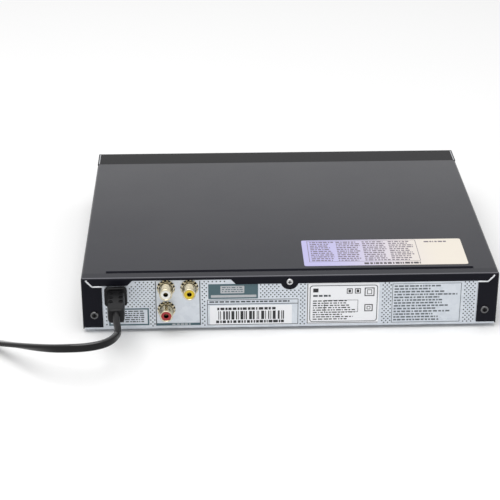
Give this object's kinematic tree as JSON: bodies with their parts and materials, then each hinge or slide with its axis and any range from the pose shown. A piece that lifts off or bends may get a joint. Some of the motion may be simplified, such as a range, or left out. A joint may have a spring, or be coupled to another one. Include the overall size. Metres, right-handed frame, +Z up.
{
  "type": "dvd player",
  "caption": "Slim disc player with a sliding front tray, rear signal sockets and a plugged-in mains cord.",
  "frame": {"origin": "on the table, under the middle of the case's width and of its depth from button tips to socket tips", "axes": "+X to the right seen from the front, -Y towards the front panel and the opening tray, +Y towards the rear sockets, +Z up"},
  "size_m": [0.4272, 0.2737, 0.0402],
  "materials": {
    "lid": "satin dark grey paint",
    "zinc": "plain bright zinc",
    "front": "fine satin black",
    "window": "clear smoked",
    "button": "satin",
    "black_plastic": "plain",
    "white_plastic": "plain",
    "red_plastic": "plain",
    "yellow_plastic": "plain",
    "nickel": "bright nickel",
    "board": "solder mask",
    "parts": "moulded",
    "cans": "sleeved",
    "core": "laminated",
    "heatsink": "bare",
    "screw_black": "black oxide",
    "screw_bright": "bright zinc",
    "rubber": "plain",
    "cable": "smooth vinyl",
    "brass": "plated",
    "frame": "plain",
    "tray": "fine texture",
    "gear": "natural acetal",
    "steel": "plain",
    "lens": "polished",
    "paper": "printed film"
  },
  "bodies": {
    "case": {"bottom_chassis": "zinc", "top_cover": "lid", "front_panel": "front", "display_window": "window", "usb_shell": "nickel", "usb_insert": "white_plastic", "front_board": "board", "front_switches": "parts", "display_block": "parts", "feet": "rubber", "cover_screw_middle": "screw_bright", "cover_screws_sides": "screw_black", "jack_block": "black_plastic", "jack_shells": "nickel", "jack_insert_white": "white_plastic", "jack_insert_red": "red_plastic", "jack_insert_yellow": "yellow_plastic", "inlet_body": "black_plastic", "inlet_pins": "brass", "connector_plug": "cable", "cord_lead": "cable", "cord_coil": "cable", "cord_tail": "cable", "mains_plug": "cable", "mains_plug_pins": "nickel", "supply_board": "board", "transformer": "core", "supply_capacitors": "cans", "heatsink": "heatsink", "main_board": "board", "main_chips": "parts", "inner_screws": "screw_bright", "flat_cable": "white_plastic", "inner_wires": "cable", "drive_belt": "rubber", "loading_motor": "steel", "loader_frame": "frame", "clamp_bridge": "zinc", "labels": "paper"},
    "tray": {"disc_tray": "tray", "tray_door": "front"},
    "tray_gear": {"tray_gear": "gear"},
    "pulley_gear": {"pulley_gear": "gear"},
    "motor_pulley": {"motor_pulley": "gear"},
    "cam": {"cam_slider": "gear"},
    "lift": {"lift_frame": "frame", "mechanism_plate": "zinc", "dampers": "rubber", "spindle_motor": "steel", "guide_rods": "steel", "feed_motor": "steel"},
    "turntable": {"turntable": "black_plastic"},
    "sled": {"pickup_sled": "parts"},
    "lens": {"pickup_lens": "lens"},
    "feed_screw": {"feed_screw": "steel"},
    "clamper": {"clamper": "white_plastic"},
    "power_button": {"power_button": "button"},
    "open_button": {"open_button": "button"},
    "play_button": {"play_button": "button"},
    "stop_button": {"stop_button": "button"}
  },
  "joints": [
    {"name": "tray_slide", "type": "slide", "parent": "case", "child": "tray", "axis": [0, -1, 0], "range_m": [0, 0.134]},
    {"name": "tray_gear_spin", "type": "hinge", "parent": "case", "child": "tray_gear", "pos_m": [-0.091, -0.0835, 0.012], "axis": [0, 0, 1], "range_deg": [0, 706]},
    {"name": "pulley_gear_spin", "type": "hinge", "parent": "case", "child": "pulley_gear", "pos_m": [-0.071, -0.0835, 0.012], "axis": [0, 0, 1], "range_deg": [-1803, 0]},
    {"name": "motor_pulley_spin", "type": "hinge", "parent": "case", "child": "motor_pulley", "pos_m": [-0.036, -0.0835, 0.009], "axis": [0, 0, 1], "range_deg": [-6343, 0]},
    {"name": "lift_hinge", "type": "hinge", "parent": "case", "child": "lift", "pos_m": [-0.05, 0.056, 0.0176], "axis": [-1, 0, 0], "range_deg": [0, 4.15]},
    {"name": "cam_slide", "type": "slide", "parent": "case", "child": "cam", "axis": [1, 0, 0], "range_m": [0, 0.0141]},
    {"name": "turntable_spin", "type": "hinge", "parent": "lift", "child": "turntable", "pos_m": [-0.05, -0.03819, 0.01819], "axis": [0, -0.0724, 0.9974], "continuous": true},
    {"name": "pickup_slide", "type": "slide", "parent": "lift", "child": "sled", "axis": [0, 0.9974, 0.0724], "range_m": [0, 0.034]},
    {"name": "feed_screw_spin", "type": "hinge", "parent": "lift", "child": "feed_screw", "pos_m": [-0.025, -0.0074, 0.00839], "axis": [0, 0.9974, 0.0724], "range_deg": [0, 4091]},
    {"name": "lens_focus", "type": "slide", "parent": "sled", "child": "lens", "axis": [0, -0.0724, 0.9974], "range_m": [-0.0004, 0.0004], "stiffness_N_per_m": 25},
    {"name": "clamper_spin", "type": "hinge", "parent": "case", "child": "clamper", "pos_m": [-0.05, -0.0379, 0.03], "axis": [0, 0, 1], "continuous": true},
    {"name": "power_press", "type": "slide", "parent": "case", "child": "power_button", "axis": [0, 1, 0], "range_m": [0, 0.0006], "stiffness_N_per_m": 700},
    {"name": "open_press", "type": "slide", "parent": "case", "child": "open_button", "axis": [0, 1, 0], "range_m": [0, 0.0006], "stiffness_N_per_m": 700},
    {"name": "play_press", "type": "slide", "parent": "case", "child": "play_button", "axis": [0, 1, 0], "range_m": [0, 0.0006], "stiffness_N_per_m": 700},
    {"name": "stop_press", "type": "slide", "parent": "case", "child": "stop_button", "axis": [0, 1, 0], "range_m": [0, 0.0006], "stiffness_N_per_m": 700}
  ],
  "couplings": [
    {"joint": "tray_gear_spin", "follows": "tray_slide", "rad_per_m": 90.909},
    {"joint": "pulley_gear_spin", "follows": "tray_slide", "rad_per_m": -233.77},
    {"joint": "motor_pulley_spin", "follows": "tray_slide", "rad_per_m": -825.06},
    {"joint": "cam_slide", "follows": "lift_hinge", "m_per_rad": 0.19329},
    {"joint": "feed_screw_spin", "follows": "pickup_slide", "rad_per_m": 2094.4}
  ]
}
